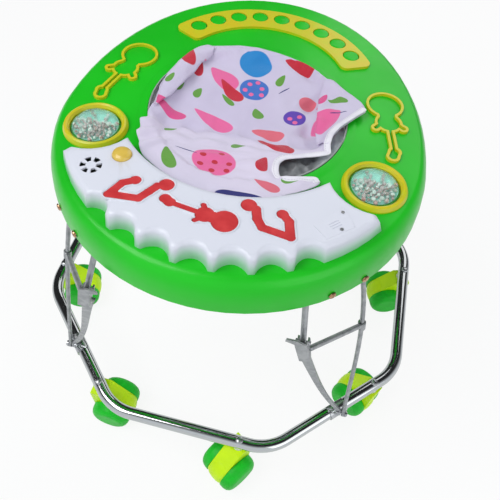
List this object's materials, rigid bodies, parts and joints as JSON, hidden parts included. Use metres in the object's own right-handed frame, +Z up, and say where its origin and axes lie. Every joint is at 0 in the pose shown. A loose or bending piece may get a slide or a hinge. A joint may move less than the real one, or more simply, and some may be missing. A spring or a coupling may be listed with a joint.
{
  "type": "baby walker",
  "caption": "Round infant walker: a moulded activity tray with a hanging fabric seat on a folding leg frame above an octagonal tube ring on swivel casters.",
  "frame": {"origin": "centre of the base ring on the floor, under the casters", "axes": "+Z up, -Y towards the walker's front with the music panel, +X to the right as seen from the front"},
  "size_m": [0.628, 0.701, 0.5058],
  "materials": {
    "ring_tube": "bright plated tube",
    "zinc_steel": "zinc plated",
    "saddle_white": "satin",
    "hood_lime": "glossy",
    "wheel_green": "satin",
    "leg_grey": "satin paint",
    "tray_green": "glossy moulding",
    "panel_white": "satin moulding",
    "inlay_red": "glossy",
    "trim_yellow": "glossy",
    "button_amber": "glossy",
    "dome_clear": "clear",
    "bead_mix": "glossy",
    "electronics": "matte",
    "battery_gold": "satin",
    "seat_fabric": "printed padded cloth"
  },
  "bodies": {
    "base": {"base_ring": "ring_tube", "caster_bolts": "zinc_steel", "caster_saddles": "saddle_white", "foot_brackets": "leg_grey", "foot_pins": "zinc_steel"},
    "leg_right": {"leg_strip_right": "leg_grey", "leg_rod_right": "leg_grey", "knee_brace_right": "zinc_steel"},
    "leg_left": {"leg_strip_left": "leg_grey", "leg_rod_left": "leg_grey", "knee_brace_left": "zinc_steel"},
    "rear_leg_right": {"rear_leg_right": "leg_grey"},
    "rear_leg_left": {"rear_leg_left": "leg_grey"},
    "lock_strut_right": {"lock_strut_right": "leg_grey"},
    "lock_strut_left": {"lock_strut_left": "leg_grey"},
    "tray": {"tray": "tray_green", "tray_hinges": "leg_grey", "tray_rivets": "zinc_steel", "hinge_pins": "zinc_steel", "music_panel": "panel_white", "note_inlays": "inlay_red", "guitar_inlay": "inlay_red", "speaker": "electronics", "circuit_board": "electronics", "battery_holder": "electronics", "battery_cells": "battery_gold", "battery_door": "panel_white", "panel_screws": "zinc_steel", "button_spring": "zinc_steel", "rattle_rings": "trim_yellow", "rattle_domes": "dome_clear", "rattle_beads": "bead_mix", "rear_strip": "trim_yellow", "guitar_trims": "trim_yellow", "seat": "seat_fabric"},
    "push_button": {"push_button": "button_amber"},
    "caster_1": {"caster_hood_1": "hood_lime"},
    "wheels_1": {"caster_wheels_1": "wheel_green"},
    "caster_2": {"caster_hood_2": "hood_lime"},
    "wheels_2": {"caster_wheels_2": "wheel_green"},
    "caster_3": {"caster_hood_3": "hood_lime"},
    "wheels_3": {"caster_wheels_3": "wheel_green"},
    "caster_4": {"caster_hood_4": "hood_lime"},
    "wheels_4": {"caster_wheels_4": "wheel_green"},
    "caster_5": {"caster_hood_5": "hood_lime"},
    "wheels_5": {"caster_wheels_5": "wheel_green"},
    "caster_6": {"caster_hood_6": "hood_lime"},
    "wheels_6": {"caster_wheels_6": "wheel_green"},
    "caster_7": {"caster_hood_7": "hood_lime"},
    "wheels_7": {"caster_wheels_7": "wheel_green"},
    "caster_8": {"caster_hood_8": "hood_lime"},
    "wheels_8": {"caster_wheels_8": "wheel_green"}
  },
  "joints": [
    {"name": "fold", "type": "hinge", "parent": "base", "child": "leg_right", "pos_m": [0.21754, -0.21754, 0.11], "axis": [1, 0, 0], "range_deg": [0, 80], "deforming": ["seat"]},
    {"name": "left_leg_fold", "type": "hinge", "parent": "base", "child": "leg_left", "pos_m": [-0.21754, -0.21754, 0.11], "axis": [1, 0, 0], "range_deg": [0, 80]},
    {"name": "rear_leg_fold_right", "type": "hinge", "parent": "base", "child": "rear_leg_right", "pos_m": [0.22233, 0.16577, 0.095], "axis": [1, 0, 0], "range_deg": [0, 80]},
    {"name": "rear_leg_fold_left", "type": "hinge", "parent": "base", "child": "rear_leg_left", "pos_m": [-0.22233, 0.16577, 0.095], "axis": [1, 0, 0], "range_deg": [0, 80]},
    {"name": "tray_level", "type": "hinge", "parent": "leg_right", "child": "tray", "pos_m": [0.166, -0.17553, 0.44], "axis": [1, 0, 0], "range_deg": [-80, 0]},
    {"name": "strut_swing_right", "type": "hinge", "parent": "tray", "child": "lock_strut_right", "pos_m": [0.112, -0.21958, 0.452], "axis": [1, 0, 0], "range_deg": [0, 80]},
    {"name": "strut_swing_left", "type": "hinge", "parent": "tray", "child": "lock_strut_left", "pos_m": [-0.112, -0.21958, 0.452], "axis": [1, 0, 0], "range_deg": [0, 80]},
    {"name": "swivel_1", "type": "hinge", "parent": "base", "child": "caster_1", "pos_m": [-0.29564, -0.077, 0.08], "axis": [0, 0, 1], "continuous": true},
    {"name": "roll_1", "type": "hinge", "parent": "caster_1", "child": "wheels_1", "pos_m": [-0.27795, -0.07159, 0.031], "axis": [-0.2924, 0.9563, 0], "continuous": true},
    {"name": "swivel_2", "type": "hinge", "parent": "base", "child": "caster_2", "pos_m": [-0.1546, -0.2635, 0.08], "axis": [0, 0, 1], "continuous": true},
    {"name": "roll_2", "type": "hinge", "parent": "caster_2", "child": "wheels_2", "pos_m": [-0.13613, -0.26447, 0.031], "axis": [0.0523, 0.9986, 0], "continuous": true},
    {"name": "swivel_3", "type": "hinge", "parent": "base", "child": "caster_3", "pos_m": [0.077, -0.29564, 0.08], "axis": [0, 0, 1], "continuous": true},
    {"name": "roll_3", "type": "hinge", "parent": "caster_3", "child": "wheels_3", "pos_m": [0.06666, -0.31098, 0.031], "axis": [0.829, -0.5592, 0], "continuous": true},
    {"name": "swivel_4", "type": "hinge", "parent": "base", "child": "caster_4", "pos_m": [0.2635, -0.1546, 0.08], "axis": [0, 0, 1], "continuous": true},
    {"name": "roll_4", "type": "hinge", "parent": "caster_4", "child": "wheels_4", "pos_m": [0.24798, -0.14453, 0.031], "axis": [-0.5446, -0.8387, 0], "continuous": true},
    {"name": "swivel_5", "type": "hinge", "parent": "base", "child": "caster_5", "pos_m": [0.29564, 0.077, 0.08], "axis": [0, 0, 1], "continuous": true},
    {"name": "roll_5", "type": "hinge", "parent": "caster_5", "child": "wheels_5", "pos_m": [0.27795, 0.07159, 0.031], "axis": [0.2924, -0.9563, 0], "continuous": true},
    {"name": "swivel_6", "type": "hinge", "parent": "base", "child": "caster_6", "pos_m": [0.1546, 0.2635, 0.08], "axis": [0, 0, 1], "continuous": true},
    {"name": "roll_6", "type": "hinge", "parent": "caster_6", "child": "wheels_6", "pos_m": [0.13613, 0.26447, 0.031], "axis": [-0.0523, -0.9986, 0], "continuous": true},
    {"name": "swivel_7", "type": "hinge", "parent": "base", "child": "caster_7", "pos_m": [-0.077, 0.29564, 0.08], "axis": [0, 0, 1], "continuous": true},
    {"name": "roll_7", "type": "hinge", "parent": "caster_7", "child": "wheels_7", "pos_m": [-0.06666, 0.31098, 0.031], "axis": [-0.829, 0.5592, 0], "continuous": true},
    {"name": "swivel_8", "type": "hinge", "parent": "base", "child": "caster_8", "pos_m": [-0.2635, 0.1546, 0.08], "axis": [0, 0, 1], "continuous": true},
    {"name": "roll_8", "type": "hinge", "parent": "caster_8", "child": "wheels_8", "pos_m": [-0.24798, 0.14453, 0.031], "axis": [0.5446, 0.8387, 0], "continuous": true},
    {"name": "button_press", "type": "slide", "parent": "tray", "child": "push_button", "axis": [0, 0, -1], "range_m": [0, 0.002], "stiffness_N_per_m": 300, "springref_m": -0.003, "deforming": ["button_spring"]}
  ],
  "couplings": [
    {"joint": "left_leg_fold", "follows": "fold", "ratio": 1},
    {"joint": "rear_leg_fold_right", "follows": "fold", "ratio": 1},
    {"joint": "rear_leg_fold_left", "follows": "fold", "ratio": 1},
    {"joint": "tray_level", "follows": "fold", "ratio": -1},
    {"joint": "strut_swing_right", "follows": "fold", "ratio": 1},
    {"joint": "strut_swing_left", "follows": "fold", "ratio": 1}
  ]
}
